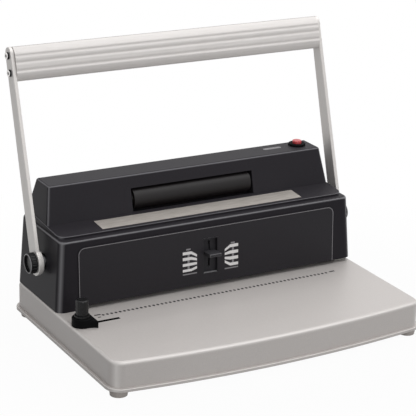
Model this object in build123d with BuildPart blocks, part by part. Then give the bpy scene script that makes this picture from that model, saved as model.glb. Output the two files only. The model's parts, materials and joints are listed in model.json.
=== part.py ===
# Desk binding machine: a lever punch with a motor-driven coil roller on top.
# Millimetres, +Z up, +X to the right, +Y to the back, desk at Z = 0 under the middle of the machine.
import os
from math import atan2, cos, degrees, radians, sin, tan

from build123d import *

os.makedirs("parts", exist_ok=True)

# Shared fits and cuts
overrun = 2.0
run_fit = 0.05
slide_fit = 0.2
seat_gap = 0.3

# Base pan, bottom plate and feet
base_depth = 264.0
base_height = 32.0
base_bow = 13.6
base_corner = 15.0
base_edge = 4.0
base_wall = 1.5
lip_out = 3.3
lip_height = 3.4
lip_round = 1.2
plate_thick = 1.5
foot_height = 8.0
foot_radius = 10.0
foot_taper = 0.8
foot_inset_x = 11.0
foot_inset_front = 9.5
foot_inset_back = 15.0
boss_radius = 4.5
boss_inset_x = 30.0
boss_inset_y = 20.0

# Screw family
screw_radius = 2.0
screw_head_radius = 3.9
screw_head = 2.4
screw_grip = 7.0
small_screw_radius = 1.5
small_head_radius = 2.8
small_head = 1.8

# Housing body
housing_side_inset = 1.6
housing_side_draft = 5.4
housing_front_draft = 4.8
housing_back_inset = 2.2
housing_corner = 9.0
housing_edge = 3.4
housing_wall = 1.8
throat_gap = 4.4
throat_left_inset = 24.0
throat_side_depth = 20.0
back_flange_depth = 12.0
back_screw_spacing = 90.0
back_screw_count = 4

# Front panel
panel_offset = -1.0
panel_side_inset = 20.5
panel_top_inset = 8.4
panel_thick = 1.0
panel_corner = 8.0

# Upper cover, roller opening and inlaid strip
cover_side_inset = 2.5
cover_front_inset = 9.0
cover_back_inset = 4.8
cover_corner = 11.0
cover_wall = 2.6
shelf_step = 2.5
shelf_slope = 4.0
shelf_edge = 1.2
block_set_back = 31.3
block_height = 46.0
block_lean = 14.8
block_top_depth = 33.4
block_side_draft = 6.9
block_corner = 3.2
block_inner_corner = 1.0
block_edge = 2.6
strip_length = 253.4
strip_back_inset = 3.5
strip_thick = 1.0
strip_inlay = 0.8
strip_front_inset = 5.2
cover_boss_side = 6.6
cover_boss_inset = 15.0
cover_boss_height = 14.0

# Coil roller and its carrier
roller_radius = 13.2
roller_length = 149.0
roller_offset = 1.4
roller_proud = 1.0
roller_core_radius = 9.0
roller_shaft_radius = 3.0
roller_room = 3.0
opening_sill = 5.4
opening_headroom = 1.4
cradle_wall = 1.6
cradle_gap = 1.5
cradle_end = 2.5
cradle_foot = 9.0
cradle_deck_gap = 0.7
bush_wall = 1.6
bush_flange = 1.2

# Motor drive
motor_radius = 18.0
motor_length = 58.0
motor_set_back = 40.9
motor_back_gap = 5.0
motor_gap = 1.7
motor_boss_radius = 6.0
motor_boss = 4.0
motor_shaft_radius = 2.0
bracket_thick = 2.0
bracket_flange = 26.0
pulley_room = 0.8
motor_pulley_radius = 4.0
pulley_width = 6.0
pulley_flange = 1.4
pulley_rim = 1.2
belt_width = 3.4
belt_thick = 1.2

# Switch and power inlet
switch_inset = 19.4
switch_share = 0.585
switch_wall = 0.65
bezel_lap = 4.0
switch_bezel_height = 2.6
button_radius = 5.5
button_proud = 5.9
button_crown = 1.2
button_travel = 2.5
switch_depth = 17.0
inlet_offset = 120.0
inlet_height = 27.0
inlet_width = 28.0
inlet_tall = 20.0
inlet_depth = 20.0
inlet_flange = 3.0
inlet_flange_thick = 1.5
inlet_socket_wall = 2.2
inlet_socket_depth = 15.0
inlet_blade_wide = 2.0
inlet_blade_tall = 4.0
inlet_blade_spacing = 7.0
inlet_blade_inset = 7.0
inlet_blade_rise_share = 0.5

# Punch unit
pin_count = 57
pin_spacing = 5.08
pin_radius = 2.0
pin_seat = 6.0
pin_fit = 0.05
punch_offset = -3.0
punch_stroke = 11.0
punch_lift = 0.6
die_thick = 7.0
die_step_length = 8.0
die_step_depth = 5.0
die_depth = 22.0
die_end_room = 8.0
guide_thick = 6.0
guide_depth = 28.0
guide_screw_share = 0.25
bar_height = 12.0
bar_depth = 18.0
bar_end_wall = 1.4
post_wall = 0.2
post_radius = 3.0
spring_pocket = 7.0
spring_room = 1.3
spring_pocket_gap = 0.7
spring_wire = 1.2
spring_turns = 5.0
die_clear = 0.1

# Main shaft, side frames and cams
shaft_from_front = 45.3
shaft_radius = 7.0
shaft_clear = 2.0
frame_thick = 4.0
frame_front_gap = 6.1
frame_head = 21.2
frame_top_gap = 10.7
frame_side_gap = 0.6
frame_flange = 12.0
frame_flange_thick = 3.0
frame_crown = 14.0
frame_bolt_share = 0.36
cam_spread = 240.0
cam_width = 14.0
cam_hub_radius = 9.0
cam_hub_room = 1.5
cam_gap = 0.3
cam_lead_in = 0.25
cam_lead_out = 0.15
cam_steps = 12
bush_radius = 10.0
bush_head_radius = 12.5
bush_head = 2.0

# Handle
handle_swing = 100.0
handle_lean = 17.0
arm_length = 226.0
hub_gap = 4.5
arm_thick = 4.2
arm_root_radius = 9.6
arm_tip_radius = 7.3
arm_edge = 0.5
eye_radius = 14.5
collar_radius = 13.5
collar_thick = 2.2
collar_edge = 0.6
knob_radius = 11.5
knob_thick = 7.8
knob_flutes = 18
knob_flute_radius = 1.1
knob_bore_depth = 4.0
knob_cap = 1.6
knob_cap_radius = 10.8
knob_edge = 0.5
knob_rim = 1.1
knob_face_depth = 2.4
grip_over = 7.1
grip_tall = 37.4
grip_low_half = 4.5
grip_high_half = 5.0
grip_low_facet = 9.2
grip_top_facet = 9.7
grip_face_low_half = 9.5
grip_face_high_half = 10.5
grip_groove_radius = 0.9
grip_groove_shares = (0.15, 0.6, 0.95)
grip_wall = 3.0
grip_screw_inset_low = 9.6
grip_screw_inset_high = 9.1
grip_screw_depth = 12.0

# Depth selector
selector_offset = -1.8
slot_width = 17.4
slot_low = 17.0
slot_room_low = 6.2
slot_room_high = 3.6
slot_wall = 1.0
slot_depth = 3.0
slot_floor = 2.0
slit_width = 2.4
tab_gap = 1.4
tab_thick = 3.6
tab_proud = 12.0
tab_edge = 0.9
rail_edge = 0.3
slider_tall = 18.0
slider_thick = 2.0
rail_lip = 1.5
rail_wall = 2.0
selector_down = 15.0
selector_up = 11.0
gauge_ratio = 0.15
web_thick = 3.0
web_margin = 2.2
web_front_room = 10.2
web_back_margin = 6.0
gauge_pin_radius = 2.0
gauge_thick = 3.0
gauge_rail_tall = 3.2
gauge_arm_tall = 5.0
gauge_tongue_thick = 2.0
gauge_tongue_lift = 0.8
gauge_stop_room = 5.0
gauge_bar_gap = 3.0
gauge_frame_gap = 2.76
gauge_back_room = 3.0
gauge_tongue_room = 6.0
gauge_upright = 4.0

# Side stop
stop_inset = 13.0
stop_front_gap = 35.8
stop_radius = 11.0
stop_step = 1.8
stop_nose = 12.0
stop_nose_front = 15.0
stop_nose_back = 7.0
stop_nose_height = 7.6
stop_nose_hollow = 1.3
stop_travel = 42.0
stop_edge = 1.0
post_knob_radius = 6.8
post_knob_top = 29.0
post_knob_flutes = 12
post_knob_flute_radius = 1.0
post_knob_foot_radius = 8.2
post_knob_foot = 2.4
post_knob_round = 1.8
stud_radius = 2.0
slot_room = 0.3
nut_length = 14.0
nut_width = 11.0
nut_thick = 3.2

# Chip tray
tray_depth = 56.0
tray_wall = 1.4
tray_gap = 2.0
tray_left_inset = 38.0
tray_face_margin = 2.0
tray_face_thick = 2.0
tray_pull_length = 60.0
tray_pull_tall = 5.0
tray_rail_width = 6.0
tray_rail_tall = 2.5

# Places worked out from the sizes above: heights first, from the desk up through the punch
base_top = foot_height + base_height
sheet_low = base_top - base_wall
plate_top = foot_height + plate_thick
throat_top = base_top + throat_gap
guide_top = throat_top + guide_thick
pin_tip = throat_top + punch_lift
bar_low = pin_tip + guide_thick + punch_stroke + seat_gap
bar_top = bar_low + bar_height
cam_drop = cam_hub_radius + cam_hub_room
cam_start = cam_drop - cam_gap
cam_base = punch_stroke / radians(handle_swing)
shaft_height = bar_top + cam_drop
frame_height = shaft_height - base_top + frame_head
housing_height = frame_height + frame_top_gap + housing_wall
housing_top = base_top + housing_height
deck_low = housing_top - housing_wall
block_top = housing_top + block_height
tray_low = plate_top + tray_rail_tall
tray_high = base_top - die_thick - tray_gap

# Widths, from the row of pins outward
punch_half = (pin_count - 1) * pin_spacing / 2
spring_radius = post_radius + spring_wire / 2 + spring_room
spring_pocket_radius = spring_radius + spring_wire / 2 + spring_pocket_gap
post_end_room = pin_radius + post_wall + spring_pocket_radius
bar_end_room = post_end_room + spring_pocket_radius + bar_end_wall
gauge_half = punch_half + bar_end_room + gauge_bar_gap
frame_side = gauge_half + gauge_thick + abs(punch_offset) + gauge_frame_gap
housing_side = frame_side + frame_thick + frame_flange + frame_side_gap + housing_wall
housing_width = housing_side * 2
base_side = housing_side + housing_side_inset
housing_top_width = housing_width - housing_side_draft * 2
cover_width = housing_top_width - cover_side_inset * 2
block_top_width = cover_width - block_side_draft * 2
panel_width = housing_top_width - panel_side_inset * 2
hub_share = (shaft_height - base_top) / housing_height
arm_side = housing_side - housing_side_draft * hub_share + hub_gap + collar_thick + arm_thick

# Depths: the base's back is set so that the middle of the machine, handle included, is at zero
grip_high = arm_length + grip_over
grip_low = grip_high - grip_tall
grip_face_high = grip_high - grip_top_facet
grip_face_low = grip_low + grip_low_facet
grip_screw_low = grip_low + grip_screw_inset_low
grip_screw_high = grip_high - grip_screw_inset_high
motor_back_inset = housing_wall + motor_back_gap + motor_radius
housing_depth = shaft_from_front + motor_set_back + motor_back_inset
housing_top_depth = housing_depth - housing_front_draft
grip_reach = grip_face_high * sin(radians(handle_lean)) + grip_face_high_half * cos(radians(handle_lean))
handle_overhang = grip_reach - (housing_depth - shaft_from_front) - housing_back_inset
base_back = (base_depth + lip_out - handle_overhang) / 2
base_front = base_back - base_depth
base_front_side = base_front + base_bow
housing_back = base_back - housing_back_inset
housing_front = housing_back - housing_depth
housing_top_front = housing_back - housing_top_depth
front_lean = atan2(housing_front_draft, housing_height)
shaft_y = housing_front + shaft_from_front
frame_depth = (shaft_from_front - housing_wall - frame_front_gap) * 2
cover_front = housing_top_front + cover_front_inset
cover_back = housing_back - cover_back_inset
block_front = cover_front + block_set_back
block_top_front = block_front + block_height * tan(radians(block_lean))
block_top_back = block_top_front + block_top_depth
strip_width = block_set_back - strip_front_inset - strip_back_inset
panel_start = throat_gap / cos(front_lean) + seat_gap
panel_height = housing_height / cos(front_lean) - panel_start - panel_top_inset
panel_up = (0, sin(front_lean), cos(front_lean))
panel_out = (0, -cos(front_lean), sin(front_lean))
arm_along = (0, sin(radians(handle_lean)), cos(radians(handle_lean)))

# Roller, motor, switch, selector and stop
roller_height = roller_radius + cradle_gap + cradle_wall + cradle_deck_gap
roller_z = housing_top + roller_height
roller_front_y = block_front + roller_height * tan(radians(block_lean)) - roller_proud
roller_y = roller_front_y + roller_radius
roller_left = roller_offset - roller_length / 2
roller_right = roller_offset + roller_length / 2
recess_left = roller_left - roller_room
recess_right = roller_right + roller_room
motor_y = housing_back - motor_back_inset
motor_z = deck_low - bracket_thick - motor_gap - motor_radius
switch_body_radius = button_radius + run_fit + switch_wall
switch_bezel_radius = switch_body_radius + bezel_lap
switch_x = block_top_width / 2 - switch_inset
switch_y = block_top_front + block_top_depth * switch_share
slot_tall = selector_down + selector_up + tab_thick + slot_room_low + slot_room_high
tab_up = slot_low + slot_room_low + tab_thick / 2 + selector_down
tab_width = slot_width - tab_gap * 2
slider_width = slot_width + (slot_wall - rail_edge - rail_wall - slide_fit) * 2
gauge_pin_set_back = slot_depth + slot_floor + slide_fit + slider_thick + web_front_room
stop_x = -base_side + stop_inset
stop_y = housing_front - stop_front_gap
stop_height = stop_nose_height + stop_step


def keep(piece, label):
    piece.part.label = label
    export_step(piece.part, f"parts/{label}.step")


def span_box(x0, x1, y0, y1, z0, z1, mode=Mode.ADD):
    with Locations(((x0 + x1) / 2, (y0 + y1) / 2, (z0 + z1) / 2)):
        Box(x1 - x0, y1 - y0, z1 - z0, mode=mode)


def rod_x(radius, x0, x1, y, z, mode=Mode.ADD):
    with Locations(Location(((x0 + x1) / 2, y, z), (0, 90, 0))):
        Cylinder(radius, x1 - x0, mode=mode)


def rod_z(radius, z0, z1, places, mode=Mode.ADD):
    with Locations(*[(x, y, (z0 + z1) / 2) for x, y in places]):
        Cylinder(radius, z1 - z0, mode=mode)


def base_outline(grow):
    with BuildSketch() as outline:
        with BuildLine():
            Polyline(
                (base_side, base_front_side),
                (base_side, base_back),
                (-base_side, base_back),
                (-base_side, base_front_side),
            )
            ThreePointArc((-base_side, base_front_side), (0, base_front), (base_side, base_front_side))
        make_face()
        fillet(vertices(), radius=base_corner)
        if grow:
            offset(amount=grow)
    return outline.sketch


def housing_outline(width, front, back, corner):
    with Locations((0, (front + back) / 2)):
        RectangleRounded(width, back - front, corner)


def front_point(x, up, out):
    return (
        x,
        housing_front + up * panel_up[1] + out * panel_out[1],
        base_top + up * panel_up[2] + out * panel_out[2],
    )


def cover_inside(z):
    rise_share = (z - housing_top) / (block_height - cover_wall)
    return block_front + cover_wall + (block_top_front - block_front) * rise_share


def corner_waste(radius, corner_round):
    with BuildSketch() as waste:
        with BuildLine():
            rounding = RadiusArc((radius, -corner_round), (radius - corner_round, 0), -corner_round)
            near = radius - corner_round
            far = radius + overrun
            Polyline(rounding @ 1, (near, overrun), (far, overrun), (far, -corner_round), rounding @ 0)
        make_face()
    return waste.sketch


def screws(places, head_z, reach, radius, head_radius, head, point_up):
    side = 1 if point_up else -1
    rod_z(head_radius, min(head_z, head_z - side * head), max(head_z, head_z - side * head), places)
    rod_z(radius, min(head_z, head_z + side * reach), max(head_z, head_z + side * reach), places)


foot_places = [
    (side * (base_side - foot_inset_x), y)
    for side in (-1, 1)
    for y in (base_front_side + foot_inset_front, base_back - foot_inset_back)
]
boss_places = [
    (side * (base_side - boss_inset_x), y)
    for side in (-1, 0, 1)
    for y in (base_front_side + boss_inset_x, base_back - boss_inset_y)
]
back_screw_left = -(back_screw_count - 1) * back_screw_spacing / 2
back_screw_y = housing_back - housing_wall - back_flange_depth / 2
back_screw_places = [
    (back_screw_left + n * back_screw_spacing, back_screw_y) for n in range(back_screw_count)
]
frame_bolt_places = [
    (side * (frame_side + frame_thick + frame_flange / 2), shaft_y + end * frame_depth * frame_bolt_share)
    for side in (-1, 1)
    for end in (-1, 1)
]
cover_screw_places = [
    (side * (cover_width / 2 - cover_boss_side), y)
    for side in (-1, 1)
    for y in (block_front + cover_boss_inset, cover_back - cover_boss_inset)
]
pin_places = [(punch_offset - punch_half + n * pin_spacing, shaft_y) for n in range(pin_count)]
post_places = [(punch_offset + side * (punch_half + post_end_room), shaft_y) for side in (-1, 1)]
guide_screw_rows = (shaft_y - guide_depth * guide_screw_share, shaft_y + guide_depth * guide_screw_share)
stop_slot_left = stop_x - stud_radius - slot_room
stop_slot_right = stop_x + stop_travel + stud_radius + slot_room
tray_y0 = shaft_y - tray_depth / 2
tray_y1 = shaft_y + tray_depth / 2
roller_pulley_radius = roller_y - cover_inside(roller_z) - belt_thick - seat_gap - pulley_room

# Painted steel pan with a bowed front, a rolled lip and posts for the bottom plate
with BuildPart() as base_cover:
    with BuildSketch(Plane.XY.offset(foot_height)):
        add(base_outline(0))
    extrude(amount=base_height)
    fillet(base_cover.faces().sort_by(Axis.Z)[-1].edges(), radius=base_edge)
    with BuildSketch(Plane.XY.offset(foot_height)):
        add(base_outline(lip_out))
    extrude(amount=lip_height)
    lip_ring = base_cover.faces().filter_by(Axis.Z).group_by(Axis.Z)[-2]
    fillet(lip_ring.sort_by(SortBy.AREA)[-1].outer_wire().edges(), radius=lip_round)
    with BuildSketch(Plane.XY.offset(foot_height)):
        add(base_outline(-base_wall))
    extrude(amount=base_height - base_wall, mode=Mode.SUBTRACT)
    rod_z(boss_radius, plate_top, sheet_low, boss_places)
    rod_z(screw_radius, plate_top, plate_top + screw_grip, boss_places, Mode.SUBTRACT)
    span_box(
        punch_offset - punch_half - die_end_room,
        punch_offset + punch_half + die_end_room,
        shaft_y - die_depth / 2,
        shaft_y + die_depth / 2,
        sheet_low - overrun,
        base_top + overrun,
        Mode.SUBTRACT,
    )
    span_box(
        stop_slot_left,
        stop_slot_right,
        stop_y - stud_radius - slot_room,
        stop_y + stud_radius + slot_room,
        sheet_low - overrun,
        base_top + overrun,
        Mode.SUBTRACT,
    )
    span_box(
        base_side - base_wall - overrun,
        base_side + overrun,
        tray_y0 - slide_fit,
        tray_y1 + slide_fit,
        tray_low,
        tray_high + slide_fit,
        Mode.SUBTRACT,
    )
    rod_z(screw_radius, sheet_low - overrun, base_top + overrun, back_screw_places, Mode.SUBTRACT)
    rod_z(screw_radius, sheet_low - overrun, base_top + overrun, frame_bolt_places, Mode.SUBTRACT)
keep(base_cover, "base_cover")

# Bottom plate with two runners for the tray
with BuildPart() as base_plate:
    with BuildSketch(Plane.XY.offset(foot_height)):
        add(base_outline(-base_wall - slide_fit))
    extrude(amount=plate_thick)
    for y in (tray_y0 + tray_rail_width, tray_y1 - tray_rail_width):
        span_box(
            -base_side + tray_left_inset,
            base_side - base_wall - seat_gap,
            y - tray_rail_width / 2,
            y + tray_rail_width / 2,
            plate_top,
            tray_low,
        )
    rod_z(screw_radius, foot_height - overrun, plate_top + overrun, boss_places + foot_places, Mode.SUBTRACT)
keep(base_plate, "base_plate")

with BuildPart() as base_plate_screws:
    screws(boss_places, foot_height, screw_grip, screw_radius, screw_head_radius, screw_head, True)
keep(base_plate_screws, "base_plate_screws")

# Soft feet, each bored for its screw
foot_seat = screw_head + slide_fit + seat_gap
with BuildPart() as rubber_feet:
    with Locations(*[(x, y, foot_height / 2) for x, y in foot_places]):
        Cone(foot_radius - foot_taper, foot_radius, foot_height)
    rod_z(screw_radius, -overrun, foot_height + overrun, foot_places, Mode.SUBTRACT)
    rod_z(screw_head_radius + slide_fit, -overrun, foot_seat, foot_places, Mode.SUBTRACT)
keep(rubber_feet, "rubber_feet")

with BuildPart() as foot_screws:
    screws(
        foot_places,
        foot_seat,
        screw_grip + screw_head,
        screw_radius,
        screw_head_radius,
        screw_head,
        True,
    )
keep(foot_screws, "foot_screws")

# Drawer for the punched chips, pulled out at the right
with BuildPart() as chip_tray:
    tray_left = -base_side + tray_left_inset + seat_gap
    span_box(tray_left, base_side, tray_y0, tray_y1, tray_low, tray_high)
    span_box(
        tray_left + tray_wall,
        base_side - tray_wall,
        tray_y0 + tray_wall,
        tray_y1 - tray_wall,
        tray_low + tray_wall,
        tray_high + overrun,
        Mode.SUBTRACT,
    )
    span_box(
        base_side,
        base_side + tray_face_thick,
        tray_y0 - tray_face_margin,
        tray_y1 + tray_face_margin,
        tray_low + slide_fit,
        tray_high + tray_face_margin,
    )
    span_box(
        base_side + tray_face_thick,
        base_side + lip_out,
        shaft_y - tray_pull_length / 2,
        shaft_y + tray_pull_length / 2,
        tray_high + tray_face_margin - tray_pull_tall,
        tray_high + tray_face_margin,
    )
keep(chip_tray, "chip_tray")

# Hardened die: the raised middle fills the opening, the rim sits under the pan's sheet
with BuildPart() as die_plate:
    die_half = punch_half + die_end_room - die_clear
    span_box(
        punch_offset - die_half - die_step_length,
        punch_offset + die_half + die_step_length,
        shaft_y - die_depth / 2 - die_step_depth,
        shaft_y + die_depth / 2 + die_step_depth,
        base_top - die_thick,
        sheet_low,
    )
    span_box(
        punch_offset - die_half,
        punch_offset + die_half,
        shaft_y - die_depth / 2 + die_clear,
        shaft_y + die_depth / 2 - die_clear,
        sheet_low,
        base_top,
    )
    rod_z(pin_radius + pin_fit, base_top - die_thick - overrun, base_top + overrun, pin_places, Mode.SUBTRACT)
keep(die_plate, "die_plate")

# Guide plate above the throat that lines up and strips the pins
with BuildPart() as punch_guide:
    span_box(
        -frame_side,
        frame_side,
        shaft_y - guide_depth / 2,
        shaft_y + guide_depth / 2,
        throat_top,
        guide_top,
    )
    rod_z(pin_radius + pin_fit, throat_top - overrun, guide_top + overrun, pin_places, Mode.SUBTRACT)
    rod_z(post_radius, throat_top + seat_gap, guide_top + overrun, post_places, Mode.SUBTRACT)
    for side in (-1, 1):
        for y in guide_screw_rows:
            rod_x(
                small_screw_radius,
                min(side * (frame_side - screw_grip), side * (frame_side + overrun)),
                max(side * (frame_side - screw_grip), side * (frame_side + overrun)),
                y,
                (throat_top + guide_top) / 2,
                Mode.SUBTRACT,
            )
keep(punch_guide, "punch_guide")

with BuildPart() as guide_posts:
    rod_z(post_radius, throat_top + seat_gap, bar_top - seat_gap, post_places)
keep(guide_posts, "guide_posts")

# Moving bar that carries all the pins
with BuildPart() as punch_bar:
    span_box(
        punch_offset - punch_half - bar_end_room,
        punch_offset + punch_half + bar_end_room,
        shaft_y - bar_depth / 2,
        shaft_y + bar_depth / 2,
        bar_low,
        bar_top,
    )
    rod_z(pin_radius, bar_low - overrun, bar_low + pin_seat, pin_places, Mode.SUBTRACT)
    rod_z(post_radius + run_fit, bar_low - overrun, bar_top + overrun, post_places, Mode.SUBTRACT)
    rod_z(spring_pocket_radius, bar_low - overrun, bar_low + spring_pocket, post_places, Mode.SUBTRACT)
keep(punch_bar, "punch_bar")

with BuildPart() as punch_pins:
    rod_z(pin_radius, pin_tip, bar_low + pin_seat, pin_places)
keep(punch_pins, "punch_pins")

# Two compression springs on the posts that lift the bar again
spring_low = guide_top + spring_wire / 2
spring_length = bar_low + spring_pocket - spring_wire / 2 - spring_low
with BuildPart() as return_springs:
    for x, y in post_places:
        with BuildLine(Plane((x, y, spring_low))) as coil:
            Helix(spring_length / spring_turns, spring_length, spring_radius)
        with BuildSketch(Plane(coil.line @ 0, z_dir=coil.line % 0)):
            Circle(spring_wire / 2)
        sweep(path=coil.line, is_frenet=True)
keep(return_springs, "return_springs")


# Upright plates that carry the shaft
def side_frame(side):
    inner = side * frame_side
    outer = side * (frame_side + frame_thick)
    with BuildPart() as frame:
        with BuildSketch(Plane((inner, shaft_y, base_top), x_dir=(0, 1, 0), z_dir=(1, 0, 0))):
            with Locations((0, frame_height / 2)):
                Rectangle(frame_depth, frame_height)
            fillet(vertices().group_by(Axis.Y)[-1], radius=frame_crown)
            with Locations((0, shaft_height - base_top)):
                Circle(bush_radius, mode=Mode.SUBTRACT)
        extrude(amount=side * frame_thick)
        span_box(
            min(outer, side * (frame_side + frame_thick + frame_flange)),
            max(outer, side * (frame_side + frame_thick + frame_flange)),
            shaft_y - frame_depth / 2,
            shaft_y + frame_depth / 2,
            base_top,
            base_top + frame_flange_thick,
        )
        rod_z(
            screw_radius,
            base_top - overrun,
            base_top + frame_flange_thick + overrun,
            [place for place in frame_bolt_places if place[0] * side > 0],
            Mode.SUBTRACT,
        )
        for y in guide_screw_rows:
            rod_x(
                small_screw_radius,
                min(inner - side * overrun, outer + side * overrun),
                max(inner - side * overrun, outer + side * overrun),
                y,
                (throat_top + guide_top) / 2,
                Mode.SUBTRACT,
            )
    return frame


# Flanged bronze bushes pressed into the uprights from inside
def shaft_bush(side):
    with BuildPart() as bush:
        inner = side * frame_side
        outer = side * (frame_side + frame_thick)
        head = side * (frame_side - bush_head)
        rod_x(bush_radius, min(inner, outer), max(inner, outer), shaft_y, shaft_height)
        rod_x(bush_head_radius, min(head, inner), max(head, inner), shaft_y, shaft_height)
        rod_x(
            shaft_radius + run_fit,
            min(head, outer) - overrun,
            max(head, outer) + overrun,
            shaft_y,
            shaft_height,
            Mode.SUBTRACT,
        )
    return bush


# Lever arm: a tapered flat bar with a round eye at the shaft
def handle_arm(side):
    outer = side * arm_side
    with BuildPart() as arm:
        with BuildSketch(Plane((outer, shaft_y, shaft_height), x_dir=arm_along, z_dir=(-side, 0, 0))):
            with BuildSketch(mode=Mode.PRIVATE) as taper:
                Circle(arm_root_radius)
                with Locations((arm_length, 0)):
                    Circle(arm_tip_radius)
                make_hull()
            add(taper.sketch)
            Circle(eye_radius)
            Circle(shaft_radius, mode=Mode.SUBTRACT)
            with Locations((grip_screw_low, 0), (grip_screw_high, 0)):
                Circle(screw_radius, mode=Mode.SUBTRACT)
        extrude(amount=arm_thick)
        sides = arm.faces().filter_by(Axis.X)
        chamfer([edge for side_face in sides for edge in side_face.outer_wire().edges()], length=arm_edge)
    return arm


def hub_collar(side):
    inner = side * (arm_side - arm_thick - collar_thick)
    outer = side * (arm_side - arm_thick)
    with BuildPart() as collar:
        rod_x(collar_radius, min(inner, outer), max(inner, outer), shaft_y, shaft_height)
        fillet(collar.edges().filter_by(GeomType.CIRCLE), radius=collar_edge)
        rod_x(
            shaft_radius,
            min(inner, outer) - overrun,
            max(inner, outer) + overrun,
            shaft_y,
            shaft_height,
            Mode.SUBTRACT,
        )
    return collar


def hub_knob(side):
    with BuildPart() as knob:
        with BuildSketch(Plane((side * arm_side, shaft_y, shaft_height), z_dir=(side, 0, 0))):
            Circle(knob_radius)
            with PolarLocations(knob_radius + knob_flute_radius / 2, knob_flutes):
                Circle(knob_flute_radius, mode=Mode.SUBTRACT)
        extrude(amount=knob_thick - knob_cap)
        cap_start = side * (arm_side + knob_thick - knob_cap)
        cap_end = side * (arm_side + knob_thick)
        rod_x(knob_cap_radius, min(cap_start, cap_end), max(cap_start, cap_end), shaft_y, shaft_height)
        ends = knob.faces().sort_by(Axis.X)
        fillet((ends[-1] if side > 0 else ends[0]).edges(), radius=knob_edge)
        recess_floor = cap_end - side * knob_face_depth
        recess_end = cap_end + side * overrun
        rod_x(
            knob_cap_radius - knob_rim,
            min(recess_floor, recess_end),
            max(recess_floor, recess_end),
            shaft_y,
            shaft_height,
            Mode.SUBTRACT,
        )
        bore_end = side * (arm_side + knob_bore_depth)
        bore_start = side * (arm_side - overrun)
        rod_x(
            shaft_radius,
            min(bore_start, bore_end),
            max(bore_start, bore_end),
            shaft_y,
            shaft_height,
            Mode.SUBTRACT,
        )
    return knob


for side, word in ((-1, "left"), (1, "right")):
    keep(side_frame(side), f"side_frame_{word}")
    keep(shaft_bush(side), f"shaft_bush_{word}")
    keep(handle_arm(side), f"arm_{word}")
    keep(hub_collar(side), f"hub_collar_{word}")
    keep(hub_knob(side), f"hub_knob_{word}")

with BuildPart() as frame_bolts:
    screws(
        frame_bolt_places,
        base_top + frame_flange_thick,
        screw_grip,
        screw_radius,
        screw_head_radius,
        screw_head,
        False,
    )
keep(frame_bolts, "frame_bolts")

with BuildPart() as guide_screws:
    for side in (-1, 1):
        face = side * (frame_side + frame_thick)
        for y in guide_screw_rows:
            z = (throat_top + guide_top) / 2
            tip = side * (frame_side - screw_grip)
            rod_x(small_screw_radius, min(tip, face), max(tip, face), y, z)
            crown = face + side * small_head
            rod_x(small_head_radius, min(face, crown), max(face, crown), y, z)
keep(guide_screws, "guide_screws")

# Cross shaft turned by the handle
with BuildPart() as main_shaft:
    shaft_end = arm_side + knob_bore_depth
    rod_x(shaft_radius, -shaft_end, shaft_end, shaft_y, shaft_height)
keep(main_shaft, "main_shaft")


# Involute cam: the flat bar below it drops in step with the handle's angle
def cam_point(turn):
    drop = cam_start + cam_base * turn
    return (
        -cam_base * cos(turn) - drop * sin(turn),
        cam_base * sin(turn) - drop * cos(turn),
    )


def cam(side):
    first = -cam_lead_in
    last = radians(handle_swing) + cam_lead_out
    turns = [first + (last - first) * n / cam_steps for n in range(cam_steps + 1)]
    left = side * cam_spread / 2 - cam_width / 2
    with BuildPart() as disc:
        with BuildSketch(Plane((left, shaft_y, shaft_height), x_dir=(0, 1, 0), z_dir=(1, 0, 0))):
            with BuildLine():
                flank = Spline(*[cam_point(turn) for turn in turns])
                Polyline(flank @ 1, (0, 0), flank @ 0)
            make_face()
            Circle(cam_hub_radius)
            Circle(shaft_radius, mode=Mode.SUBTRACT)
        extrude(amount=cam_width)
    return disc


keep(cam(-1), "cam_left")
keep(cam(1), "cam_right")

# Extruded grip between the arms, with finger grooves on its front
with BuildPart() as grip_bar:
    grip_end = arm_side - arm_thick
    with BuildSketch(Plane((-grip_end, shaft_y, shaft_height), x_dir=arm_along, z_dir=(1, 0, 0))):
        with BuildLine():
            Polyline(
                (grip_high, grip_high_half),
                (grip_face_high, grip_face_high_half),
                (grip_face_low, grip_face_low_half),
                (grip_low, grip_low_half),
                (grip_low, -grip_low_half),
                (grip_face_low, -grip_face_low_half),
                (grip_face_high, -grip_face_high_half),
                (grip_high, -grip_high_half),
                close=True,
            )
        make_face()
        fillet(vertices(), radius=grip_groove_radius)
        for share in grip_groove_shares:
            along = grip_face_low + (grip_face_high - grip_face_low) * share
            rise = grip_face_low_half + (grip_face_high_half - grip_face_low_half) * share
            with Locations((along, rise)):
                Circle(grip_groove_radius, mode=Mode.SUBTRACT)
        with Locations(((grip_screw_low + grip_screw_high) / 2, 0)):
            hollow = grip_screw_high - grip_screw_low - screw_head_radius * 2
            Rectangle(hollow, (grip_face_low_half - grip_wall) * 2, mode=Mode.SUBTRACT)
    extrude(amount=grip_end * 2)
    for side in (-1, 1):
        face = Plane((side * grip_end, shaft_y, shaft_height), x_dir=arm_along, z_dir=(side, 0, 0))
        with BuildSketch(face):
            with Locations((grip_screw_low, 0), (grip_screw_high, 0)):
                Circle(screw_radius)
        extrude(amount=-grip_screw_depth, mode=Mode.SUBTRACT)
keep(grip_bar, "grip_bar")

with BuildPart() as grip_screws:
    for side in (-1, 1):
        face = Plane((side * arm_side, shaft_y, shaft_height), x_dir=arm_along, z_dir=(side, 0, 0))
        with BuildSketch(face):
            with Locations((grip_screw_low, 0), (grip_screw_high, 0)):
                Circle(screw_radius)
        extrude(amount=-grip_screw_depth - arm_thick)
        with BuildSketch(face):
            with Locations((grip_screw_low, 0), (grip_screw_high, 0)):
                Circle(screw_head_radius)
                RegularPolygon(screw_radius, 6, mode=Mode.SUBTRACT)
        extrude(amount=screw_head)
keep(grip_screws, "grip_screws")

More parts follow.
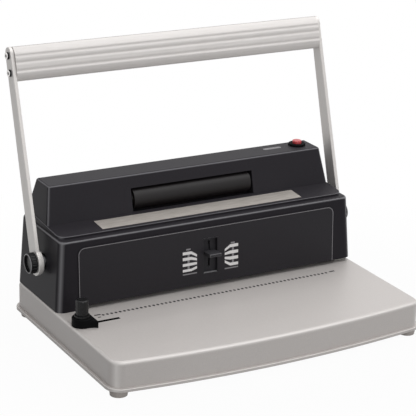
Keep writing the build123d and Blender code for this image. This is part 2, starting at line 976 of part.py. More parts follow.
# Folded steel body of the housing
slot_hole_wide = slot_width + slot_wall * 2 + slide_fit
slot_hole_tall = slot_tall + slot_wall * 2 + slide_fit
slot_mid = slot_low + slot_tall / 2
front_face = Plane(front_point(0, 0, 0), x_dir=(1, 0, 0), z_dir=panel_out)
inlet_z = base_top + inlet_height
belt_x = recess_left - cradle_end - bush_flange - seat_gap - pulley_width / 2
with BuildPart() as housing_shell:
    with BuildSketch(Plane.XY.offset(base_top)):
        housing_outline(housing_width, housing_front, housing_back, housing_corner)
    with BuildSketch(Plane.XY.offset(housing_top)):
        housing_outline(housing_top_width, housing_top_front, housing_back, housing_corner)
    loft(ruled=True)
    fillet(housing_shell.faces().sort_by(Axis.Z)[-1].edges(), radius=housing_edge)
    inner_corner = housing_corner - housing_wall
    with BuildSketch(Plane.XY.offset(base_top)):
        housing_outline(
            housing_width - housing_wall * 2,
            housing_front + housing_wall,
            housing_back - housing_wall,
            inner_corner,
        )
    with BuildSketch(Plane.XY.offset(deck_low)):
        housing_outline(
            housing_top_width - housing_wall * 2,
            housing_top_front + housing_wall,
            housing_back - housing_wall,
            inner_corner,
        )
    loft(ruled=True, mode=Mode.SUBTRACT)
    span_box(
        -housing_width / 2 + throat_left_inset,
        base_side,
        housing_front - overrun,
        housing_front + throat_side_depth,
        base_top - overrun,
        throat_top,
        Mode.SUBTRACT,
    )
    span_box(
        -frame_side,
        frame_side,
        housing_back - housing_wall - back_flange_depth,
        housing_back - housing_wall / 2,
        base_top,
        base_top + housing_wall,
    )
    flange_top = base_top + housing_wall
    rod_z(screw_radius, base_top - overrun, flange_top + overrun, back_screw_places, Mode.SUBTRACT)
    rod_x(shaft_radius + shaft_clear, -base_side, base_side, shaft_y, shaft_height, Mode.SUBTRACT)
    with BuildSketch(front_face):
        with Locations((selector_offset, slot_mid)):
            Rectangle(slot_hole_wide, slot_hole_tall)
    extrude(amount=-housing_wall - overrun, mode=Mode.SUBTRACT)
    span_box(
        inlet_offset - inlet_width / 2 - slide_fit,
        inlet_offset + inlet_width / 2 + slide_fit,
        housing_back - housing_wall - overrun,
        housing_back + overrun,
        inlet_z - inlet_tall / 2 - slide_fit,
        inlet_z + inlet_tall / 2 + slide_fit,
        Mode.SUBTRACT,
    )
    span_box(
        belt_x - pulley_width,
        belt_x + pulley_width,
        roller_y - roller_pulley_radius - overrun,
        motor_y + motor_pulley_radius + pulley_rim + overrun,
        deck_low - overrun,
        housing_top + overrun,
        Mode.SUBTRACT,
    )
    rod_z(screw_radius, deck_low - overrun, housing_top + overrun, cover_screw_places, Mode.SUBTRACT)
keep(housing_shell, "housing_shell")

with BuildPart() as housing_screws:
    screws(back_screw_places, sheet_low, screw_grip, screw_radius, screw_head_radius, screw_head, True)
keep(housing_screws, "housing_screws")

# Raised face plate on the housing's front
with BuildPart() as front_panel:
    with BuildSketch(front_face):
        with BuildLine():
            Polyline(
                (panel_offset - panel_width / 2, panel_start),
                (panel_offset + panel_width / 2, panel_start),
                (panel_offset + panel_width / 2, panel_start + panel_height),
                (panel_offset - panel_width / 2, panel_start + panel_height),
                close=True,
            )
        make_face()
        fillet(vertices().group_by(Axis.Y)[-1], radius=panel_corner)
        with Locations((selector_offset, slot_mid)):
            Rectangle(slot_hole_wide, slot_hole_tall, mode=Mode.SUBTRACT)
    extrude(amount=panel_thick)
keep(front_panel, "front_panel")

# Moulded upper cover: a sloping shelf in front and a hollow block behind
shelf_up = (0, -sin(radians(shelf_slope)), cos(radians(shelf_slope)))
shelf_plane = Plane((0, cover_front, housing_top + shelf_step), x_dir=(1, 0, 0), z_dir=shelf_up)
strip_mid = (strip_front_inset + strip_width / 2) / cos(radians(shelf_slope))
with BuildPart() as upper_cover:
    with BuildSketch(Plane.XY.offset(housing_top)):
        housing_outline(cover_width, cover_front, cover_back, cover_corner)
    extrude(amount=shelf_step + (cover_back - cover_front) * tan(radians(shelf_slope)) + overrun)
    split(bisect_by=shelf_plane, keep=Keep.BOTTOM)
    fillet(upper_cover.faces().sort_by(Axis.Z)[-1].edges(), radius=shelf_edge)
    with BuildSketch(Plane.XY.offset(housing_top)):
        housing_outline(cover_width, block_front, cover_back, block_corner)
    with BuildSketch(Plane.XY.offset(block_top)):
        housing_outline(block_top_width, block_top_front, block_top_back, block_corner)
    loft(ruled=True)
    fillet(upper_cover.faces().sort_by(Axis.Z)[-1].edges(), radius=block_edge)
    with BuildSketch(Plane.XY.offset(housing_top)):
        housing_outline(
            cover_width - cover_wall * 2,
            block_front + cover_wall,
            cover_back - cover_wall,
            block_inner_corner,
        )
    with BuildSketch(Plane.XY.offset(block_top - cover_wall)):
        housing_outline(
            block_top_width - cover_wall * 2,
            block_top_front + cover_wall,
            block_top_back - cover_wall,
            block_inner_corner,
        )
    loft(ruled=True, mode=Mode.SUBTRACT)
    with BuildSketch(shelf_plane):
        with Locations((0, strip_mid)):
            Rectangle(strip_length + slide_fit, strip_width + slide_fit)
    extrude(amount=-strip_inlay, mode=Mode.SUBTRACT)
    span_box(
        recess_left,
        recess_right,
        block_front - overrun,
        roller_y,
        housing_top + opening_sill,
        roller_z + roller_radius + opening_headroom,
        Mode.SUBTRACT,
    )
    rod_z(
        switch_body_radius,
        block_top - cover_wall - overrun,
        block_top + overrun,
        [(switch_x, switch_y)],
        Mode.SUBTRACT,
    )
    rod_z(boss_radius, housing_top, housing_top + cover_boss_height, cover_screw_places)
    rod_z(screw_radius, housing_top - overrun, housing_top + screw_grip, cover_screw_places, Mode.SUBTRACT)
keep(upper_cover, "upper_cover")

with BuildPart() as cover_screws:
    screws(cover_screw_places, deck_low, screw_grip, screw_radius, screw_head_radius, screw_head, True)
keep(cover_screws, "cover_screws")

with BuildPart() as shelf_strip:
    with BuildSketch(shelf_plane.offset(-strip_inlay)):
        with Locations((0, strip_mid)):
            Rectangle(strip_length, strip_width)
    extrude(amount=strip_thick)
keep(shelf_strip, "shelf_strip")

# Trough behind the roller with an end plate at each side
cradle_radius = roller_radius + cradle_gap
end_places = ((recess_left - cradle_end, recess_left), (recess_right, recess_right + cradle_end))

with BuildPart() as roller_cradle:
    with BuildSketch(Plane((recess_left, 0, 0), x_dir=(0, 1, 0), z_dir=(1, 0, 0))):
        with Locations((roller_y, roller_z)):
            Circle(cradle_radius + cradle_wall)
            Circle(cradle_radius, mode=Mode.SUBTRACT)
        cut_half = cradle_radius + cradle_wall + overrun
        with Locations((roller_y - cut_half, roller_z)):
            Rectangle(cut_half * 2, cut_half * 2, mode=Mode.SUBTRACT)
    extrude(amount=recess_right - recess_left)
    cradle_back = roller_y + cradle_radius + cradle_wall
    cradle_high = roller_z + cradle_radius
    for x0, x1 in end_places:
        with BuildSketch(Plane((x0, 0, 0), x_dir=(0, 1, 0), z_dir=(1, 0, 0))):
            with BuildLine():
                Polyline(
                    (cover_inside(housing_top) + seat_gap, housing_top),
                    (cradle_back, housing_top),
                    (cradle_back, cradle_high),
                    (cover_inside(cradle_high) + seat_gap, cradle_high),
                    close=True,
                )
            make_face()
            with Locations((roller_y, roller_z)):
                Circle(roller_shaft_radius + bush_wall, mode=Mode.SUBTRACT)
        extrude(amount=x1 - x0)
        span_box(
            x0,
            x1 + cradle_foot,
            cradle_back - cradle_wall,
            cradle_back + cradle_foot,
            housing_top,
            housing_top + cradle_wall,
        )
keep(roller_cradle, "roller_cradle")


def roller_bush(side):
    x0, x1 = end_places[0] if side < 0 else end_places[1]
    flange = x0 - bush_flange if side < 0 else x1 + bush_flange
    with BuildPart() as bush:
        rod_x(roller_shaft_radius + bush_wall, x0, x1, roller_y, roller_z)
        rod_x(
            roller_shaft_radius + bush_wall * 2,
            min(flange, x0 if side < 0 else x1),
            max(flange, x0 if side < 0 else x1),
            roller_y,
            roller_z,
        )
        rod_x(
            roller_shaft_radius + run_fit,
            x0 - bush_flange - overrun,
            x1 + bush_flange + overrun,
            roller_y,
            roller_z,
            Mode.SUBTRACT,
        )
    return bush


keep(roller_bush(-1), "roller_bush_left")
keep(roller_bush(1), "roller_bush_right")

with BuildPart() as roller_core:
    rod_x(roller_core_radius, roller_left, roller_right, roller_y, roller_z)
    rod_x(
        roller_shaft_radius,
        belt_x - pulley_width / 2,
        recess_right + cradle_end + bush_flange + seat_gap,
        roller_y,
        roller_z,
    )
keep(roller_core, "roller_core")

with BuildPart() as roller_sleeve:
    rod_x(roller_radius, roller_left, roller_right, roller_y, roller_z)
    rod_x(
        roller_core_radius,
        roller_left - overrun,
        roller_right + overrun,
        roller_y,
        roller_z,
        Mode.SUBTRACT,
    )
keep(roller_sleeve, "roller_sleeve")


# Flanged belt pulley with a bore for its shaft
def pulley(radius, bore, y, z):
    with BuildPart() as wheel:
        rod_x(radius, belt_x - pulley_width / 2, belt_x + pulley_width / 2, y, z)
        for side in (-1, 1):
            rim = belt_x + side * (pulley_width - pulley_flange) / 2
            rod_x(radius + pulley_rim, rim - pulley_flange / 2, rim + pulley_flange / 2, y, z)
        rod_x(bore, belt_x - pulley_width, belt_x + pulley_width, y, z, Mode.SUBTRACT)
    return wheel


keep(pulley(roller_pulley_radius, roller_shaft_radius, roller_y, roller_z), "roller_pulley")
keep(pulley(motor_pulley_radius, motor_shaft_radius, motor_y, motor_z), "motor_pulley")

belt_wide = min(belt_width, pulley_width - pulley_flange * 2 - slide_fit * 2)
with BuildPart() as drive_belt:
    with BuildSketch(Plane((belt_x - belt_wide / 2, 0, 0), x_dir=(0, 1, 0), z_dir=(1, 0, 0))):
        with BuildSketch(mode=Mode.PRIVATE) as belt_outside:
            with Locations((roller_y, roller_z)):
                Circle(roller_pulley_radius + seat_gap + belt_thick)
            with Locations((motor_y, motor_z)):
                Circle(motor_pulley_radius + seat_gap + belt_thick)
            make_hull()
        with BuildSketch(mode=Mode.PRIVATE) as belt_inside:
            with Locations((roller_y, roller_z)):
                Circle(roller_pulley_radius + seat_gap)
            with Locations((motor_y, motor_z)):
                Circle(motor_pulley_radius + seat_gap)
            make_hull()
        add(belt_outside.sketch)
        add(belt_inside.sketch, mode=Mode.SUBTRACT)
    extrude(amount=belt_wide)
keep(drive_belt, "drive_belt")

# Motor, hung under the deck by an angle bracket
bracket_x1 = belt_x - pulley_width
bracket_x0 = bracket_x1 - bracket_thick
with BuildPart() as motor_bracket:
    span_box(
        bracket_x0,
        bracket_x1,
        motor_y - motor_radius,
        motor_y + motor_radius,
        motor_z - motor_radius,
        deck_low,
    )
    span_box(
        bracket_x0 - bracket_flange,
        bracket_x1,
        motor_y - motor_radius,
        motor_y + motor_radius,
        deck_low - bracket_thick,
        deck_low,
    )
    rod_x(motor_boss_radius, bracket_x0 - overrun, bracket_x1 + overrun, motor_y, motor_z, Mode.SUBTRACT)
keep(motor_bracket, "motor_bracket")

with BuildPart() as motor_can:
    rod_x(motor_radius, bracket_x0 - motor_length, bracket_x0, motor_y, motor_z)
    rod_x(motor_boss_radius, bracket_x0, bracket_x0 + motor_boss, motor_y, motor_z)
    rod_x(
        motor_shaft_radius + run_fit,
        bracket_x0 - motor_length / 2,
        bracket_x0 + motor_boss + overrun,
        motor_y,
        motor_z,
        Mode.SUBTRACT,
    )
keep(motor_can, "motor_can")

with BuildPart() as motor_shaft:
    rod_x(
        motor_shaft_radius,
        bracket_x0 - motor_length / 2 + seat_gap,
        belt_x + pulley_width / 2,
        motor_y,
        motor_z,
    )
keep(motor_shaft, "motor_shaft")

# Lighted push button in its round bezel, with the switch under it
with BuildPart() as switch_body:
    bezel_bore = button_radius + run_fit
    rod_z(switch_bezel_radius, block_top, block_top + switch_bezel_height, [(switch_x, switch_y)])
    rod_z(switch_body_radius, block_top - switch_depth, block_top, [(switch_x, switch_y)])
    rod_z(
        bezel_bore,
        block_top - button_travel - switch_bezel_height,
        block_top + switch_bezel_height + overrun,
        [(switch_x, switch_y)],
        Mode.SUBTRACT,
    )
    bezel_rim = switch_body.faces().sort_by(Axis.Z)[-1].edges().sort_by(SortBy.LENGTH)[-1]
    fillet(bezel_rim, radius=switch_bezel_height / 2)
keep(switch_body, "switch_body")

with BuildPart() as switch_button:
    button_low = block_top - switch_bezel_height + seat_gap
    rod_z(button_radius, button_low, block_top + button_proud, [(switch_x, switch_y)])
    fillet(switch_button.faces().sort_by(Axis.Z)[-1].edges(), radius=button_crown)
keep(switch_button, "switch_button")

# Mains inlet in the back wall
with BuildPart() as power_inlet:
    inlet_in = housing_back - inlet_depth
    span_box(
        inlet_offset - inlet_width / 2,
        inlet_offset + inlet_width / 2,
        inlet_in,
        housing_back,
        inlet_z - inlet_tall / 2,
        inlet_z + inlet_tall / 2,
    )
    span_box(
        inlet_offset - inlet_width / 2 - inlet_flange,
        inlet_offset + inlet_width / 2 + inlet_flange,
        housing_back,
        housing_back + inlet_flange_thick,
        inlet_z - inlet_tall / 2 - inlet_flange,
        inlet_z + inlet_tall / 2 + inlet_flange,
    )
    span_box(
        inlet_offset - inlet_width / 2 + inlet_socket_wall,
        inlet_offset + inlet_width / 2 - inlet_socket_wall,
        housing_back - inlet_socket_depth,
        housing_back + inlet_flange_thick + overrun,
        inlet_z - inlet_tall / 2 + inlet_socket_wall,
        inlet_z + inlet_tall / 2 - inlet_socket_wall,
        Mode.SUBTRACT,
    )
    for step, rise in ((-1, -1), (0, 1), (1, -1)):
        blade_x = inlet_offset + step * inlet_blade_spacing
        blade_z = inlet_z + rise * inlet_blade_tall * inlet_blade_rise_share
        span_box(
            blade_x - inlet_blade_wide / 2,
            blade_x + inlet_blade_wide / 2,
            housing_back - inlet_socket_depth,
            housing_back - inlet_blade_inset,
            blade_z - inlet_blade_tall / 2,
            blade_z + inlet_blade_tall / 2,
        )
keep(power_inlet, "power_inlet")

# Depth selector: a recessed slot frame, a slider behind it and a finger tab in front
web_x = selector_offset
frame_plane = Plane(front_point(selector_offset, 0, 0), x_dir=(1, 0, 0), z_dir=panel_out)
side_plane = Plane(front_point(web_x - web_thick / 2, 0, 0), x_dir=panel_up, z_dir=(1, 0, 0))
slider_out = -slot_depth - slot_floor - slide_fit
rail_back = slot_depth + slot_floor + slider_thick + slide_fit * 2 + rail_wall
with BuildPart() as selector_frame:
    with BuildSketch(frame_plane.offset(panel_thick)):
        with Locations((0, slot_mid)):
            Rectangle(slot_width + slot_wall * 2, slot_tall + slot_wall * 2)
    extrude(amount=-panel_thick - slot_depth - slot_floor)
    with BuildSketch(frame_plane.offset(panel_thick)):
        with Locations((0, slot_mid)):
            Rectangle(slot_width, slot_tall)
    extrude(amount=-panel_thick - slot_depth, mode=Mode.SUBTRACT)
    with BuildSketch(frame_plane.offset(-slot_depth - slot_floor)):
        for side in (-1, 1):
            with Locations((side * (slider_width / 2 + slide_fit + rail_wall / 2), slot_mid)):
                Rectangle(rail_wall, slot_tall)
    extrude(amount=-rail_back + slot_depth + slot_floor)
    with BuildSketch(frame_plane.offset(-rail_back + rail_wall)):
        for side in (-1, 1):
            with Locations((side * (slider_width / 2 + slide_fit - rail_lip / 2), slot_mid)):
                Rectangle(rail_lip, slot_tall)
    extrude(amount=-rail_wall)
    with BuildSketch(frame_plane.offset(-slot_depth)):
        with Locations((0, tab_up + (selector_up - selector_down) / 2)):
            Rectangle(slit_width, selector_up + selector_down + tab_thick + slide_fit * 2)
    extrude(amount=-slot_floor, mode=Mode.SUBTRACT)
keep(selector_frame, "selector_frame")

pin_y, pin_z = front_point(0, tab_up, -gauge_pin_set_back)[1:]
slot_tilt = degrees(atan2(gauge_ratio * cos(front_lean), 1 - gauge_ratio * sin(front_lean)))
with BuildPart() as selector_slider:
    with BuildSketch(frame_plane.offset(slider_out)):
        with Locations((0, tab_up)):
            Rectangle(slider_width, slider_tall)
    extrude(amount=-slider_thick)
    with BuildSketch(frame_plane.offset(slider_out)):
        with Locations((0, tab_up)):
            Rectangle(slit_width - slide_fit * 2, tab_thick)
    extrude(amount=slot_floor + slide_fit * 2)
    with BuildSketch(side_plane):
        web_low = tab_up - selector_up - gauge_pin_radius - web_margin
        web_high = tab_up + selector_down + gauge_pin_radius + web_margin
        web_front = slider_out - slider_thick
        web_back = -gauge_pin_set_back - gauge_pin_radius - web_back_margin
        with Locations(((web_low + web_high) / 2, (web_front + web_back) / 2)):
            Rectangle(web_high - web_low, web_front - web_back)
        with BuildSketch(mode=Mode.PRIVATE) as groove:
            reach = (selector_up + selector_down) / 2 / cos(radians(slot_tilt)) + slide_fit
            SlotCenterToCenter(reach * 2, (gauge_pin_radius + run_fit) * 2)
        groove_mid = (selector_down - selector_up) / 2
        lean_out = groove_mid * tan(radians(slot_tilt))
        with Locations(Location((tab_up + groove_mid, -gauge_pin_set_back + lean_out), slot_tilt)):
            add(groove.sketch, mode=Mode.SUBTRACT)
    extrude(amount=web_thick)
keep(selector_slider, "selector_slider")

with BuildPart() as selector_tab:
    with BuildSketch(frame_plane.offset(-slot_depth + slide_fit)):
        with Locations((0, tab_up)):
            Rectangle(tab_width, tab_thick)
    extrude(amount=slot_depth - slide_fit + panel_thick + tab_proud)
    fillet(selector_tab.faces().sort_by(Axis.Y)[0].edges(), radius=tab_edge)
keep(selector_tab, "selector_tab")

# Paper stop behind the pins, a frame drawn to and fro by a pin in the slider's slanting groove
with BuildPart() as depth_gauge:
    rail_low = throat_top + seat_gap
    rail_front = pin_y - gauge_thick / 2
    arm_low = guide_top + slide_fit
    arm_high = arm_low + gauge_arm_tall
    guide_front = shaft_y - guide_depth / 2
    guide_back = shaft_y + guide_depth / 2
    stop_front = guide_back + gauge_back_room
    span_box(
        punch_offset - gauge_half,
        punch_offset + gauge_half,
        rail_front,
        rail_front + gauge_thick,
        rail_low,
        rail_low + gauge_rail_tall,
    )
    for side in (-1, 1):
        near = punch_offset + side * gauge_half
        far = near + side * gauge_thick
        x0 = min(near, far)
        x1 = max(near, far)
        span_box(x0, x1, rail_front, guide_front - gauge_back_room, rail_low, arm_high)
        span_box(x0, x1, rail_front, stop_front + gauge_thick, arm_low, arm_high)
    span_box(
        punch_offset - gauge_half - gauge_thick,
        punch_offset + gauge_half + gauge_thick,
        stop_front,
        stop_front + gauge_thick,
        base_top + gauge_tongue_lift,
        arm_high,
    )
    span_box(
        punch_offset - punch_half - gauge_tongue_room,
        punch_offset + punch_half + gauge_tongue_room,
        shaft_y + gauge_stop_room,
        stop_front + gauge_thick,
        base_top + gauge_tongue_lift,
        base_top + gauge_tongue_lift + gauge_tongue_thick,
    )
    upright_x = web_x + web_thick / 2 + slide_fit
    span_box(
        upright_x,
        upright_x + gauge_thick,
        pin_y - gauge_upright,
        pin_y + gauge_upright,
        rail_low,
        pin_z + gauge_upright,
    )
    rod_x(gauge_pin_radius, web_x - web_thick / 2 - overrun, upright_x + gauge_thick, pin_y, pin_z)
keep(depth_gauge, "depth_gauge")

# Side stop: a disc with a flat nose that meets the paper's edge
with BuildPart() as side_stop:
    with BuildSketch(Plane((stop_x, stop_y, base_top))):
        with BuildLine():
            heel = (0, -stop_radius)
            point = (stop_nose, -stop_nose_front)
            bend = (stop_nose / 2, stop_nose_hollow - (stop_radius + stop_nose_front) / 2)
            ThreePointArc(heel, bend, point)
            Polyline(point, (stop_nose, stop_nose_back), (0, stop_radius), heel)
        make_face()
    extrude(amount=stop_nose_height)
    with BuildSketch(Plane((stop_x, stop_y, base_top))):
        Circle(stop_radius)
    extrude(amount=stop_height)
    fillet(side_stop.faces().sort_by(Axis.Z)[-1].edges(), radius=stop_edge)
    rod_z(
        stud_radius + run_fit,
        base_top - overrun,
        base_top + stop_height + overrun,
        [(stop_x, stop_y)],
        Mode.SUBTRACT,
    )
keep(side_stop, "side_stop")

with BuildPart() as side_stop_knob:
    knob_low = base_top + stop_height + slide_fit
    knob_high = base_top + post_knob_top
    with BuildSketch(Plane((stop_x, stop_y, knob_low))):
        Circle(post_knob_radius)
        with PolarLocations(post_knob_radius + post_knob_flute_radius / 2, post_knob_flutes):
            Circle(post_knob_flute_radius, mode=Mode.SUBTRACT)
    extrude(amount=knob_high - knob_low)
    with BuildSketch(Plane((stop_x, stop_y, knob_high), x_dir=(1, 0, 0), z_dir=(0, -1, 0))):
        add(corner_waste(post_knob_radius, post_knob_round))
    revolve(axis=Axis((stop_x, stop_y, knob_high), (0, 0, 1)), mode=Mode.SUBTRACT)
    rod_z(post_knob_foot_radius, knob_low, knob_low + post_knob_foot, [(stop_x, stop_y)])
    rod_z(stud_radius, knob_low - overrun, (knob_low + knob_high) / 2, [(stop_x, stop_y)], Mode.SUBTRACT)
keep(side_stop_knob, "side_stop_knob")

nut_high = sheet_low - slide_fit
with BuildPart() as side_stop_stud:
    rod_z(stud_radius, nut_high - nut_thick - overrun, (knob_low + knob_high) / 2, [(stop_x, stop_y)])
keep(side_stop_stud, "side_stop_stud")

with BuildPart() as clamp_nut:
    span_box(
        stop_x - nut_length / 2,
        stop_x + nut_length / 2,
        stop_y - nut_width / 2,
        stop_y + nut_width / 2,
        nut_high - nut_thick,
        nut_high,
    )
    rod_z(
        stud_radius + run_fit,
        nut_high - nut_thick - overrun,
        nut_high + overrun,
        [(stop_x, stop_y)],
        Mode.SUBTRACT,
    )
keep(clamp_nut, "clamp_nut")
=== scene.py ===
import json
import math

import bmesh
import bpy
from mathutils import Matrix, Vector


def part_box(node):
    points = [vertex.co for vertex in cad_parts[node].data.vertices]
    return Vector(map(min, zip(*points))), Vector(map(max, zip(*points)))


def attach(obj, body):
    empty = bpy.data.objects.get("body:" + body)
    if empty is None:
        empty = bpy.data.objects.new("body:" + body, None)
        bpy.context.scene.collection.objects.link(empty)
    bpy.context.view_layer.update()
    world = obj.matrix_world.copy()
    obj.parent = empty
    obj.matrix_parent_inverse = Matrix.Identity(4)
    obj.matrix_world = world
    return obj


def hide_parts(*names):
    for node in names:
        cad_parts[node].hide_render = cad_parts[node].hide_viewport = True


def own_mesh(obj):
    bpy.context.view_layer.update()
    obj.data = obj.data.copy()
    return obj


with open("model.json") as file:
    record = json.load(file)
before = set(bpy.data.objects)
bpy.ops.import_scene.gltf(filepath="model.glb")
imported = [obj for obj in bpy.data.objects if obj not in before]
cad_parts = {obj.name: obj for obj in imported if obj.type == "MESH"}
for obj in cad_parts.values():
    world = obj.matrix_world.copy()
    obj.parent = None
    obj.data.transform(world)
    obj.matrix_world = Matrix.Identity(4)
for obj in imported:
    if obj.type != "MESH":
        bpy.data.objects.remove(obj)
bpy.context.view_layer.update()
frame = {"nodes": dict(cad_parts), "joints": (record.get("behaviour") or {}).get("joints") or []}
nodes = frame["nodes"]
joints = {joint["name"]: joint for joint in frame["joints"]}
print("frame loaded:", len(nodes), "nodes")

mm = 0.001


# Materials

def toLinear(hexText):
    channels = [int(hexText[i:i + 2], 16) / 255 for i in (1, 3, 5)]
    return tuple(c / 12.92 if c <= 0.04045 else ((c + 0.055) / 1.055) ** 2.4 for c in channels) + (1.0,)


def addNode(tree, kind, settings=None, links=None):
    node = tree.nodes.new(kind)
    for key, value in (settings or {}).items():
        if key in node.inputs:
            node.inputs[key].default_value = value
        else:
            setattr(node, key, value)
    for key, source in (links or {}).items():
        tree.links.new(source, node.inputs[key])
    return node


def perMetre(sizeMm):
    return 1 / (sizeMm * mm)  # a texture scale from a real size


def paintLightAndShadeWhere(tree, shader, tint, value, start, full):
    # mixes in a colour painted as light and shade, as a value goes from start to full
    share = addNode(tree, "ShaderNodeMapRange", {"From Min": start, "From Max": full}, {"Value": value})
    flat = shader.inputs["Base Color"].links[0].from_socket
    mixed = addNode(tree, "ShaderNodeMixRGB", {"Color2": toLinear(tint)},
                    {"Fac": share.outputs[0], "Color1": flat})
    tree.links.new(mixed.outputs[0], shader.inputs["Base Color"])


def axisSizes(tree, output):
    # how far a point lies, or a surface faces, along x, y and z, whatever the sign
    place = addNode(tree, "ShaderNodeTexCoord").outputs[output]
    sizes = addNode(tree, "ShaderNodeVectorMath", {"operation": "ABSOLUTE"}, {0: place})
    return addNode(tree, "ShaderNodeSeparateXYZ", links={0: sizes.outputs[0]}).outputs


edgeFacing = {"flat": 0.94, "round": 0.74}  # the largest part of a normal, on a flat and on a rounded edge


def paintEdgeHighlights(tree, shader, edge):
    # painted highlight: rounded edges get a paler colour than the flats, standing in for the light they catch
    x, y, z = axisSizes(tree, "Normal")
    larger = addNode(tree, "ShaderNodeMath", {"operation": "MAXIMUM"}, {0: x, 1: y})
    largest = addNode(tree, "ShaderNodeMath", {"operation": "MAXIMUM"}, {0: larger.outputs[0], 1: z})
    paintLightAndShadeWhere(tree, shader, edge, largest.outputs[0], edgeFacing["flat"], edgeFacing["round"])
